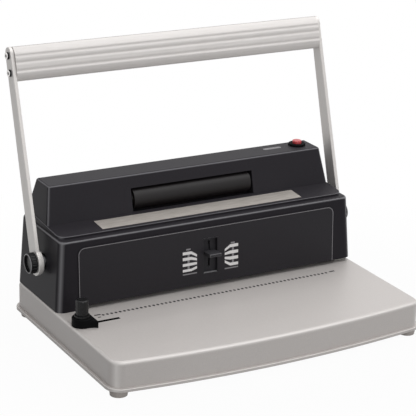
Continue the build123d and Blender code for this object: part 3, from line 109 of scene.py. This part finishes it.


# grainMm is the width of the grain, flake or drawn line, and bumpMm the height of its relief
# the real ones are mostly finer than a pixel, so all are drawn as coarse as they need to show
# edge is the colour of the painted highlight on rounded edges, rim that of a painted highlight on an outer
# end face (start and full in millimetres from it),
# # level that of painted light and shade on faces that look up or down (start and full as the upright part of
# the normal)
finishes = {
    # even pale grey with a faint orange peel; the flake is drawn coarser to show
    "enamel": {"name": "silver enamel sprayed on steel", "dark": "#c0bbb8", "light": "#c8c3c0",
               "edge": "#dedad7", "grainMm": 0.9, "peelMm": 3.0, "rough": 0.45, "metallic": 0.15, "ior": 1.5,
               "bump": 0.12, "bumpMm": 0.05, "on": ["base_cover"]},
    # pebbled skin that breaks up highlights; the pebbles are drawn coarser to show
    "powder": {"name": "black powder coat baked on steel", "dark": "#262428", "light": "#2b292d",
               "edge": "#7d7c7f", "grainMm": 0.8, "rough": 0.36, "ior": 1.5, "sheen": 0.06,
               "bump": 0.16, "bumpMm": 0.05, "on": ["housing_shell", "base_plate"]},
    # flatter and smoother than the coat around it
    "film": {"name": "black polycarbonate film printed", "dark": "#242226", "light": "#28262a",
             "grainMm": 1.2, "rough": 0.34, "ior": 1.58, "sheen": 0.14, "bump": 0.05, "bumpMm": 0.03,
             "on": ["front_panel"]},
    # soft wide highlights; the grain is drawn coarser to show
    "abs": {"name": "black ABS moulded with a fine grain", "dark": "#29272b", "light": "#2f2d31",
            "edge": "#757478", "grainMm": 0.7, "rough": 0.45, "ior": 1.54, "sheen": 0.08,
            "bump": 0.16, "bumpMm": 0.05,
            "on": ["upper_cover", "roller_cradle", "power_inlet", "chip_tray", "roller_pulley",
                   "motor_pulley"]},
    # a shade paler than the panel, so the tab reads
    "selector": {"name": "dark grey ABS moulded fine", "dark": "#353437", "light": "#3c3b3e",
                 "edge": "#858487", "grainMm": 0.7, "rough": 0.45, "ior": 1.54, "sheen": 0.12,
                 "bump": 0.1, "bumpMm": 0.04, "on": ["selector_slider", "selector_tab"]},
    # as dark as the panel; faces that look up or down are paler, a painted highlight on the ledge
    "slotFrame": {"name": "black ABS moulded fine", "dark": "#2a292c", "light": "#302f32",
                  "edge": "#4a494c", "grainMm": 0.7, "rough": 0.45, "ior": 1.54, "sheen": 0.12,
                  "bump": 0.1, "bumpMm": 0.04, "level": {"tint": "#a09fa2", "start": 0.85, "full": 0.95},
                  "on": ["selector_frame"]},
    # shiny enough to show the paper around it; the pale rim of the end face is a painted highlight
    "knob": {"name": "black ABS moulded bright", "dark": "#0e0e0f", "light": "#131314",
             "grainMm": 1.5, "rough": 0.3, "ior": 1.54, "sheen": 0.2, "bump": 0.03, "bumpMm": 0.04,
             "rim": {"of": "hub_knob_right", "tint": "#8d8b8e", "start": -0.8, "full": -0.45},
             "on": ["hub_knob_left", "hub_knob_right"]},
    # drinks the light, so the lens stands out; also the dark frame of painted shade in the side stop's slot
    "mattNylonAndSlotShade": {"name": "black nylon moulded matt and painted slot shade", "dark": "#0e0e0f", "light": "#131314",
                  "grainMm": 1.5, "rough": 0.6, "ior": 1.53, "sheen": 0.03, "bump": 0.05, "bumpMm": 0.04,
                  "on": ["switch_body", "side_stop"]},
    # deep black with a tight shine
    "smoothNylon": {"name": "black nylon moulded smooth", "dark": "#0e0e0f", "light": "#131314",
                    "grainMm": 1.5, "rough": 0.3, "ior": 1.53, "sheen": 0.25, "bump": 0.05, "bumpMm": 0.04,
                    "on": ["side_stop_knob"]},
    # pale and soft, with drawn lines along the length; the narrow faces at top and bottom are darkened as
    # painted shade
    "anodised": {"name": "satin anodised aluminium extruded", "dark": "#d9d5d2", "light": "#e1dddb",
                 "grainMm": 0.8, "detail": 1.0, "stretch": (0.03, 1.0, 1.0), "rough": 0.5, "metallic": 0.1,
                 "bump": 0.03, "bumpMm": 0.03, "level": {"tint": "#a8a4a1", "start": 0.9, "full": 0.95},
                 "on": ["grip_bar"]},
    # mirrors its dark neighbours softly
    "arm": {"name": "satin anodised aluminium bar", "dark": "#d6d2cf", "light": "#dddad7",
            "grainMm": 0.5, "detail": 1.0, "stretch": (1.0, 1.0, 0.04), "rough": 0.4, "metallic": 0.3,
            "bump": 0.03, "bumpMm": 0.03,
            "on": ["arm_left", "arm_right", "hub_collar_left", "hub_collar_right"]},
    # warm grey with fine lengthwise lines
    "strip": {"name": "brushed aluminium strip", "dark": "#a09a94", "light": "#bdb7b1",
              "grainMm": 0.45, "detail": 1.0, "stretch": (0.03, 1.0, 1.0), "rough": 0.5, "metallic": 0.35,
              "bump": 0.03, "bumpMm": 0.03, "on": ["shelf_strip"]},
    # cool grey with a grinding lay
    "groundSteel": {"name": "tool steel ground", "dark": "#8f9093", "light": "#a7a8aa",
                    "grainMm": 0.4, "detail": 1.0, "stretch": (0.05, 1.0, 1.0), "rough": 0.3, "metallic": 1.0,
                    "bump": 0.03, "bumpMm": 0.03,
                    "on": ["die_plate", "punch_guide", "punch_pins", "punch_bar", "cam_left", "cam_right",
                           "main_shaft", "guide_posts", "motor_shaft", "roller_core"]},
    # cloudy pale grey
    "zinc": {"name": "zinc plated steel passivated", "dark": "#a9a8a4", "light": "#bcbbb7",
             "grainMm": 2.0, "rough": 0.35, "metallic": 1.0, "bump": 0.1, "bumpMm": 0.04,
             "on": ["side_frame_left", "side_frame_right", "frame_bolts", "guide_screws", "housing_screws",
                    "cover_screws", "base_plate_screws", "foot_screws", "return_springs", "motor_can",
                    "motor_bracket", "depth_gauge", "side_stop_stud", "clamp_nut"]},
    # dark oily grey in the socket; the pale face around it is a painted highlight
    "oxide": {"name": "black oxide steel", "dark": "#29292b", "light": "#343436",
              "grainMm": 1.0, "rough": 0.35, "metallic": 1.0, "bump": 0.1, "bumpMm": 0.04,
              "rim": {"of": "grip_screws", "tint": "#dcdad8", "start": -0.5, "full": -0.3},
              "on": ["grip_screws"]},
    # dull yellow with fine pores
    "bronze": {"name": "bronze sintered", "dark": "#9a7a45", "light": "#b08e55",
               "grainMm": 0.6, "rough": 0.45, "metallic": 1.0, "bump": 0.1, "bumpMm": 0.04,
               "on": ["shaft_bush_left", "shaft_bush_right", "roller_bush_left", "roller_bush_right"]},
    # dull sheen along the top of the roller
    "blackRubber": {"name": "black rubber ground smooth", "dark": "#131011", "light": "#1a1718",
                    "grainMm": 0.9, "rough": 0.45, "ior": 1.52, "sheen": 0.25, "bump": 0.12, "bumpMm": 0.04,
                    "on": ["roller_sleeve", "drive_belt"]},
    # matt, slightly dusty
    "greyRubber": {"name": "grey rubber moulded", "dark": "#bdb6b1", "light": "#c9c2bd",
                   "grainMm": 0.8, "rough": 0.6, "ior": 1.52, "bump": 0.15, "bumpMm": 0.04,
                   "on": ["rubber_feet"]},
    # even glow under a clear skin
    "redLens": {"name": "red acrylic lens moulded", "dark": "#c8444a", "light": "#d45659",
                "grainMm": 3.0, "rough": 0.25, "ior": 1.49, "bump": 0.02, "bumpMm": 0.04,
                "on": ["switch_button"]},
    # flat and dull on the enamel
    "darkInk": {"name": "dark grey ink screen printed", "dark": "#1b191b", "light": "#252325",
                "grainMm": 0.6, "rough": 0.6, "ior": 1.5, "bump": 0.02, "bumpMm": 0.04, "on": []},
    # flat, a little off white
    "paleInk": {"name": "white ink screen printed", "dark": "#dedcdc", "light": "#e8e6e6",
                "grainMm": 0.6, "rough": 0.6, "ior": 1.5, "bump": 0.02, "bumpMm": 0.04, "on": []},
    # half as bright, for thin printed lines, and for the painted highlight along the front panel's edge
    "greyInkAndHighlight": {"name": "grey ink screen printed", "dark": "#7c7a7d", "light": "#8a888b",
                "grainMm": 0.6, "rough": 0.6, "ior": 1.5, "bump": 0.02, "bumpMm": 0.04, "on": []},
}
shaderValues = {"metallic": "Metallic", "ior": "IOR", "sheen": "Specular IOR Level"}
noiseLook = {"low": 0.3, "high": 0.7, "grainDetail": 3.0, "peelDetail": 2.0}  # most noise is low to high
roughSpread = 0.05  # how far the roughness wanders to each side


def makeFinish(spec):
    material = bpy.data.materials.new(spec["name"])
    material.use_nodes = True
    tree = material.node_tree
    tree.nodes.clear()
    shader = addNode(tree, "ShaderNodeBsdfPrincipled")
    addNode(tree, "ShaderNodeOutputMaterial", links={"Surface": shader.outputs["BSDF"]})
    for key, socket in shaderValues.items():
        if key in spec:
            shader.inputs[socket].default_value = spec[key]

    place = addNode(tree, "ShaderNodeTexCoord").outputs["Object"]
    drawn = place
    if "stretch" in spec:  # drawn lines along the piece
        stretched = addNode(tree, "ShaderNodeMapping", {"Scale": spec["stretch"]}, {"Vector": place})
        drawn = stretched.outputs["Vector"]
    detail = spec.get("detail", noiseLook["grainDetail"])
    noise = addNode(tree, "ShaderNodeTexNoise", {"Scale": perMetre(spec["grainMm"]), "Detail": detail},
                    {"Vector": drawn})
    grain = noise.outputs["Fac"]

    # slow drift between two close colours
    ramp = addNode(tree, "ShaderNodeValToRGB", links={"Fac": grain})
    for stop, end, colour in zip(ramp.color_ramp.elements, ("low", "high"), ("dark", "light")):
        stop.position = noiseLook[end]
        stop.color = toLinear(spec[colour])
    tree.links.new(ramp.outputs["Color"], shader.inputs["Base Color"])

    rough = addNode(tree, "ShaderNodeMapRange",
                    {"From Min": noiseLook["low"], "From Max": noiseLook["high"],
                     "To Min": spec["rough"] - roughSpread, "To Max": spec["rough"] + roughSpread},
                    {"Value": grain})
    tree.links.new(rough.outputs["Result"], shader.inputs["Roughness"])

    relief = grain
    if "peelMm" in spec:  # the sprayed coat's own waves, wider than its flake
        peel = addNode(tree, "ShaderNodeTexNoise",
                       {"Scale": perMetre(spec["peelMm"]), "Detail": noiseLook["peelDetail"]},
                       {"Vector": place})
        relief = peel.outputs["Fac"]
    bump = addNode(tree, "ShaderNodeBump", {"Strength": spec["bump"], "Distance": spec["bumpMm"] * mm},
                   {"Height": relief})
    tree.links.new(bump.outputs["Normal"], shader.inputs["Normal"])

    # painted highlights along rounded edges
    if "edge" in spec:
        paintEdgeHighlights(tree, shader, spec["edge"])
    # a painted highlight on the outer end face
    if "rim" in spec:
        rim = spec["rim"]
        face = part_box(rim["of"])[1].x
        paintLightAndShadeWhere(tree, shader, rim["tint"], axisSizes(tree, "Object")[0],
                  face + rim["start"] * mm, face + rim["full"] * mm)
    # painted light and shade on faces that look up or down
    if "level" in spec:
        level = spec["level"]
        paintLightAndShadeWhere(tree, shader, level["tint"], axisSizes(tree, "Normal")[2], level["start"], level["full"])
    return material


materials = {key: makeFinish(spec) for key, spec in finishes.items()}
for key, spec in finishes.items():
    for name in spec["on"]:
        mesh = nodes[name].data
        mesh.materials.clear()
        mesh.materials.append(materials[key])
print("materials set:", len(materials), "on", sum(len(spec["on"]) for spec in finishes.values()), "nodes")


# Pieces that only the scene has

def addObject(name, data):
    made = bpy.data.objects.new(name, data)
    bpy.context.scene.collection.objects.link(made)
    return made


def addPiece(name, mesh, body):
    piece = addObject(name, mesh)
    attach(piece, body)
    return piece


def addSolid(name, parts, finish, body):
    vertices, faces = [], []
    for points, sides in parts:
        first = len(vertices)
        vertices += points
        faces += [[first + i for i in side] for side in sides]
    mesh = bpy.data.meshes.new(name)
    mesh.from_pydata(vertices, [], faces)
    mesh.update()
    mesh.materials.append(materials[finish])
    return addPiece(name, mesh, body)


def solidThrough(rings):
    # a closed solid through rings of points, capped at both ends
    count = len(rings[0])
    lastRing = count * (len(rings) - 1)
    vertices = [point for ring in rings for point in ring]
    faces = [list(range(count))[::-1], list(range(lastRing, lastRing + count))]
    for first in range(0, lastRing, count):
        for i in range(count):
            j = (i + 1) % count
            faces.append([first + i, first + j, first + count + j, first + count + i])
    return vertices, faces


def slab(outline, placeOn, lift):
    # a thin plate on a surface, from a flat outline
    return solidThrough([[placeOn(x, y, height) for x, y in outline] for height in (0.0, lift)])


# Return springs: the CAD coils again, as a piece of their own with its own mesh, on the machine

coils = addPiece("return_coils", nodes["return_springs"].data.copy(), "machine")
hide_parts("return_springs")
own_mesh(coils)


# Grip: the extrusion with soft ribs and crowned faces, drawn along the arms from the shaft
# front runs up the front of the section, as millimetres along the arm and out from it

grip = {"joint": "handle_swing", "lean": 17.0, "step": 0.5, "round": 2, "sharp": 32, "lengths": 24,
        "front": [(195.7, 4.5), (204.2, 9.5), (223.4, 10.5), (233.1, 5.0)], "crowns": (0.6, 0.0, 0.6),
        "grooves": (206.5, 215.4, 222.4), "grooveWide": 4.6, "grooveDeep": 1.0}


def grooveDepth(along):
    waves = [math.cos(2 * math.pi * (along - middle) / grip["grooveWide"]) for middle in grip["grooves"]
             if abs(along - middle) < grip["grooveWide"] / 2]
    return grip["grooveDeep"] * sum((1 + wave) / 2 for wave in waves)


def gripSection():
    front = grip["front"]
    back = [(along, -out) for along, out in front[::-1]]
    corners = front + back
    crowns = grip["crowns"] + (0.0,) * (len(back) + 1)  # only the front is crowned
    points = []
    for crown, start, end in zip(crowns, corners, corners[1:] + corners[:1]):
        steps = round(math.dist(start, end) / grip["step"])
        for i in range(steps):
            share = i / steps
            along = start[0] + (end[0] - start[0]) * share
            out = start[1] + (end[1] - start[1]) * share + crown * math.sin(math.pi * share)
            points.append(Vector((along, out - grooveDepth(along) if out > 0 else out)))
    span = range(-grip["round"], grip["round"] + 1)  # an average over neighbours rounds every corner
    count = len(points)
    return [sum((points[(i + k) % count] for k in span), Vector((0, 0))) / len(span) for i in range(count)]


def addGrip():
    shaft = Vector(joints[grip["joint"]]["pos_m"])
    lean = math.radians(grip["lean"])
    armUp = Vector((0, math.sin(lean), math.cos(lean)))
    armOut = Vector((0, -math.cos(lean), math.sin(lean)))
    left, right = (corner.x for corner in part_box("grip_bar"))
    section = gripSection()
    rings = []
    for n in range(grip["lengths"] + 1):  # cut into lengths, so no face is a long sliver
        middle = Vector((left + (right - left) * n / grip["lengths"], shaft.y, shaft.z))
        rings.append([middle + armUp * (p.x * mm) + armOut * (p.y * mm) for p in section])
    piece = addSolid("ribbed_grip", [solidThrough(rings)], "anodised", "handle")
    shape = bmesh.new()
    shape.from_mesh(piece.data)
    bmesh.ops.recalc_face_normals(shape, faces=shape.faces)
    for face in shape.faces:
        face.smooth = True
    shape.to_mesh(piece.data)
    shape.free()
    piece.data.set_sharp_from_angle(angle=math.radians(grip["sharp"]))
    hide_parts("grip_bar")


addGrip()
print("grip added")


# Marks on the base: the row of holes, and where a sheet's edges go
# each end mark: its x, its y from the row, its length and its width

holeMarks = {"count": 57, "pitch": 5.08, "centreX": -3.0, "fromFront": 132.8, "across": 1.5, "along": 2.0,
             "corners": 16, "lift": 0.06,
             "ends": [(-150.9, 2.4, 7.2, 2.4), (-151.5, -4.0, 3.8, 1.8), (148.0, 1.2, 7.0, 2.6)]}
baseLow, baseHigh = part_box("base_cover")
rowY = baseLow.y / mm + holeMarks["fromFront"]


def onBase(x, y, lift):
    return (x * mm, y * mm, baseHigh.z + lift * mm)


def holeMark(n):
    x = holeMarks["centreX"] + (n - (holeMarks["count"] - 1) / 2) * holeMarks["pitch"]
    turns = [2 * math.pi * i / holeMarks["corners"] for i in range(holeMarks["corners"])]
    return [(x + holeMarks["across"] * math.cos(t), rowY + holeMarks["along"] * math.sin(t)) for t in turns]


def endMark(x, y, length, wide):
    left, right, low, high = x - length / 2, x + length / 2, rowY + y - wide / 2, rowY + y + wide / 2
    return [(left, low), (right, low), (right, high), (left, high)]


marks = [holeMark(n) for n in range(holeMarks["count"])] + [endMark(*end) for end in holeMarks["ends"]]
addSolid("hole_marks", [slab(mark, onBase, holeMarks["lift"]) for mark in marks], "darkInk",
         "machine")


# Painted shade in the side stop's slot: a thin dark frame on its walls

stopSlot = {"left": -179.3, "right": -132.7, "halfWide": 2.3, "gap": 0.02, "wall": 0.15, "deep": 1.5,
            "below": 0.05}


def slotLoop(inset):
    middle = sum(corner.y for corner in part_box("side_stop_stud")) / 2 / mm
    left, right = stopSlot["left"] + inset, stopSlot["right"] - inset
    half = stopSlot["halfWide"] - inset
    return [(left, middle - half), (right, middle - half), (right, middle + half), (left, middle + half)]


def slotShadeFrame(outside, inside, low, high):
    # a closed thin frame on a slot's walls, painted shade
    count = len(outside)
    vertices = [onBase(x, y, z) for z in (low, high) for loop in (outside, inside) for x, y in loop]
    faces = []
    for i in range(count):
        j = (i + 1) % count
        faces += [[i, j, 2 * count + j, 2 * count + i], [count + j, count + i, 3 * count + i, 3 * count + j],
                  [2 * count + i, 2 * count + j, 3 * count + j, 3 * count + i], [j, i, count + i, count + j]]
    return vertices, faces


slotShade = slotShadeFrame(slotLoop(stopSlot["gap"]), slotLoop(stopSlot["gap"] + stopSlot["wall"]),
                  -stopSlot["deep"], -stopSlot["below"])
addSolid("stop_slot_painted_shade", [slotShade], "mattNylonAndSlotShade", "machine")


# Mark beside the button

switchMark = {"x": 120.2, "y": 93.5, "length": 24.0, "wide": 5.5, "steps": 8, "lift": 0.06}
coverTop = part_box("upper_cover")[1].z


def onCover(x, y, lift):
    return (x * mm, y * mm, coverTop + lift * mm)


def switchOutline():
    # a bar with round ends
    radius = switchMark["wide"] / 2
    half = switchMark["length"] / 2 - radius
    points = []
    for side, start in ((1, -90), (-1, 90)):
        for n in range(switchMark["steps"] + 1):
            turn = math.radians(start + 180 * n / switchMark["steps"])
            points.append((switchMark["x"] + side * half + radius * math.cos(turn),
                           switchMark["y"] + radius * math.sin(turn)))
    return points


addSolid("switch_mark", [slab(switchOutline(), onCover, switchMark["lift"])], "greyInkAndHighlight",
         "machine")


# Painted highlight along the front panel's raised edge, a pale line; the panel leans back by setBack over its
# rise

panelFace = {"setBack": 4.8, "rise": 78.5, "thick": 1.0, "lift": 0.06}
panelEdgeHighlight = {"inset": 0.4, "wide": 0.7, "corner": 8.0, "steps": 8}
panelLow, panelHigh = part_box("front_panel")
panelLean = math.atan2(panelFace["setBack"], panelFace["rise"])
panelUp = Vector((0, math.sin(panelLean), math.cos(panelLean)))
panelOut = Vector((0, -math.cos(panelLean), math.sin(panelLean)))
panelFoot = Vector((0, panelLow.y, panelLow.z + panelFace["thick"] * mm * math.sin(panelLean)))


def onPanel(x, up, lift):
    return tuple(panelFoot + Vector((x * mm, 0, 0)) + panelUp * (up * mm) + panelOut * (lift * mm))


def panelOutline(inset):
    half = (panelHigh.x - panelLow.x) / 2 / mm - inset
    middle = (panelHigh.x + panelLow.x) / 2 / mm
    top = (panelHigh.z - panelFoot.z) / mm / math.cos(panelLean) - inset
    radius = panelEdgeHighlight["corner"] - inset
    points = [(middle - half, 0.0)]
    for start, centreX in ((180, middle - half + radius), (90, middle + half - radius)):
        for n in range(panelEdgeHighlight["steps"] + 1):
            turn = math.radians(start - 90 * n / panelEdgeHighlight["steps"])
            points.append((centreX + radius * math.cos(turn), top - radius + radius * math.sin(turn)))
    points.append((middle + half, 0.0))
    return points


def panelRibbon(left, right):
    # a thin closed strip between two lines of points, left and right as one goes along it
    lift = panelFace["lift"]
    return solidThrough([[onPanel(*a, 0.0), onPanel(*a, lift), onPanel(*b, lift), onPanel(*b, 0.0)]
                         for a, b in zip(left, right)])


outer = panelOutline(panelEdgeHighlight["inset"])
inner = panelOutline(panelEdgeHighlight["inset"] + panelEdgeHighlight["wide"])
addSolid("panel_line", [panelRibbon(outer, inner)], "greyInkAndHighlight", "machine")


# Stacked bars that show a thin and a thick bind, mirrored about the selector's slot
# each bar: its lower and upper edge at the straight side, then at the slot side, as shares of the height
# bend, spine and cap lie across the picture, as shares of its width from the straight side

bindLook = {"bend": 0.6, "lineHigh": 0.045, "cap": (0.25, 0.55), "capLow": 0.94}
binds = {
    "thin_bind_mark": {"left": -37.1, "right": -19.2, "low": 58.8, "high": 89.0, "flip": False,
                       "spine": (0.34, 0.48),
                       "bars": [(0.12, 0.215, 0.185, 0.285), (0.335, 0.44, 0.345, 0.44),
                                (0.555, 0.67, 0.495, 0.585), (0.775, 0.885, 0.64, 0.735)]},
    "thick_bind_mark": {"left": 16.4, "right": 33.7, "low": 57.5, "high": 88.3, "flip": True,
                        "spine": (0.32, 0.46),
                        "bars": [(0.105, 0.215, 0.245, 0.345), (0.335, 0.455, 0.385, 0.475),
                                 (0.56, 0.68, 0.545, 0.63), (0.805, 0.92, 0.685, 0.775)]},
}


def bindPicture(spec):
    wide, tall = spec["right"] - spec["left"], spec["high"] - spec["low"]

    def corner(across, up):
        share = 1 - across if spec["flip"] else across
        height = spec["low"] + tall * up - panelFoot.z / mm
        return (spec["left"] + wide * share, height / math.cos(panelLean))

    def strip(acrosses, lows, highs):
        lower = [corner(across, low) for across, low in zip(acrosses, lows)]
        upper = [corner(across, high) for across, high in zip(acrosses, highs)]
        return panelRibbon(lower, upper) if spec["flip"] else panelRibbon(upper, lower)

    bars = [strip((0, bindLook["bend"], 1), (low, low, lowSlot), (high, high, highSlot))
            for low, high, lowSlot, highSlot in spec["bars"]]
    spans = [((0, 1), 0, bindLook["lineHigh"])]
    spans += [(spec["spine"], lower[1], upper[0]) for lower, upper in zip(spec["bars"], spec["bars"][1:])]
    spans.append((bindLook["cap"], bindLook["capLow"], 1))
    return bars, [strip(acrosses, (low, low), (high, high)) for acrosses, low, high in spans]


for name, spec in binds.items():
    bars, lines = bindPicture(spec)
    addSolid(name + "_bars", bars, "paleInk", "machine")
    addSolid(name + "_lines", lines, "greyInkAndHighlight", "machine")
print("printed marks added")


# Stage, light and camera

def seenRays(tree):
    # 1 where the camera, a mirror or glass looks, 0 for the rays that light the object
    rays = addNode(tree, "ShaderNodeLightPath").outputs
    either = addNode(tree, "ShaderNodeMath", {"operation": "MAXIMUM"},
                     {0: rays["Is Camera Ray"], 1: rays["Is Glossy Ray"]})
    return addNode(tree, "ShaderNodeMath", {"operation": "MAXIMUM"},
                   {0: either.outputs[0], 1: rays["Is Transmission Ray"]}).outputs[0]


sweep = {"half": 6.0, "colour": "#9c9c9c", "near": 0.22, "far": 0.5, "nearGlow": 0.97, "farGlow": 1.0}


def addFloor():
    half = sweep["half"]
    corners = [(-half, -half, 0), (half, -half, 0), (half, half, 0), (-half, half, 0)]
    mesh = bpy.data.meshes.new("floor")
    mesh.from_pydata(corners, [], [[0, 1, 2, 3]])
    floor = addObject("floor", mesh)
    material = bpy.data.materials.new("white paper sweep")  # even white that keeps a faint shadow
    material.use_nodes = True
    tree = material.node_tree
    tree.nodes.clear()
    paper = addNode(tree, "ShaderNodeBsdfDiffuse", {"Color": toLinear(sweep["colour"])})
    glow = addNode(tree, "ShaderNodeEmission", {"Strength": 1.0})
    place = addNode(tree, "ShaderNodeTexCoord").outputs["Object"]
    reach = addNode(tree, "ShaderNodeVectorMath", {"operation": "LENGTH"}, {0: place})
    fade = addNode(tree, "ShaderNodeMapRange",
                   {"From Min": sweep["near"], "From Max": sweep["far"],
                    "To Min": sweep["nearGlow"], "To Max": sweep["farGlow"]},
                   {"Value": reach.outputs["Value"]})  # the shadow stays near the feet
    share = addNode(tree, "ShaderNodeMath", {"operation": "MULTIPLY"},
                    {0: seenRays(tree), 1: fade.outputs["Result"]})
    mixed = addNode(tree, "ShaderNodeMixShader",
                    links={0: share.outputs[0], 1: paper.outputs[0], 2: glow.outputs[0]})
    addNode(tree, "ShaderNodeOutputMaterial", links={"Surface": mixed.outputs[0]})
    mesh.materials.append(material)


studio = {"ambient": 0.24, "seen": 1.0}


def addWorld():
    world = bpy.data.worlds.new("studio")
    bpy.context.scene.world = world
    world.use_nodes = True
    tree = world.node_tree
    tree.nodes.clear()
    ambient = addNode(tree, "ShaderNodeBackground", {"Color": (1, 1, 1, 1), "Strength": studio["ambient"]})
    white = addNode(tree, "ShaderNodeBackground", {"Color": (1, 1, 1, 1), "Strength": studio["seen"]})
    mixed = addNode(tree, "ShaderNodeMixShader",
                    links={0: seenRays(tree), 1: ambient.outputs[0], 2: white.outputs[0]})
    addNode(tree, "ShaderNodeOutputWorld", links={"Surface": mixed.outputs[0]})


softboxes = {
    "overhead": {"at": (0.55, -0.05, 1.9), "target": (0.1, 0.0, 0.0), "wide": 3.2, "tall": 2.6, "watts": 43},
    "frontFill": {"at": (-0.2, -2.0, 0.9), "target": (0, 0, 0.1), "wide": 0.9, "tall": 0.9, "watts": 9},
}


def addSoftbox(name, at, target, wide, tall, watts):
    lamp = bpy.data.lights.new(name, "AREA")
    lamp.shape = "RECTANGLE"
    lamp.size = wide
    lamp.size_y = tall
    lamp.energy = watts
    softbox = addObject(name, lamp)
    softbox.location = at
    softbox.rotation_euler = (Vector(target) - Vector(at)).to_track_quat("-Z", "Y").to_euler()


addFloor()
addWorld()
for name, softbox in softboxes.items():
    addSoftbox(name, **softbox)

shot = {"at": (-859.3, -1468.475, 740.4), "azimuth": 29.83, "elevation": 19.5, "roll": 1.73,
        "focalPixels": 1649.3, "picture": 416, "sensor": 36.0, "clipEnd": 20.0}


def addCamera():
    azimuth, elevation, roll = (math.radians(shot[key]) for key in ("azimuth", "elevation", "roll"))
    back = Vector((-math.sin(azimuth) * math.cos(elevation), -math.cos(azimuth) * math.cos(elevation),
                   math.sin(elevation)))
    right = Vector((math.cos(azimuth), -math.sin(azimuth), 0))
    up = back.cross(right)
    rolledRight = right * math.cos(roll) + up * math.sin(roll)
    rolledUp = up * math.cos(roll) - right * math.sin(roll)
    lens = bpy.data.cameras.new("camera")
    lens.sensor_width = shot["sensor"]
    lens.lens = shot["focalPixels"] * shot["sensor"] / shot["picture"]
    lens.clip_end = shot["clipEnd"]
    camera = addObject("camera", lens)
    turn = Matrix((rolledRight, rolledUp, back)).transposed().to_4x4()
    camera.matrix_world = Matrix.Translation(Vector(shot["at"]) * mm) @ turn
    bpy.context.scene.camera = camera


addCamera()
bpy.context.scene.view_settings.view_transform = "Standard"
print("stage, light and camera set")
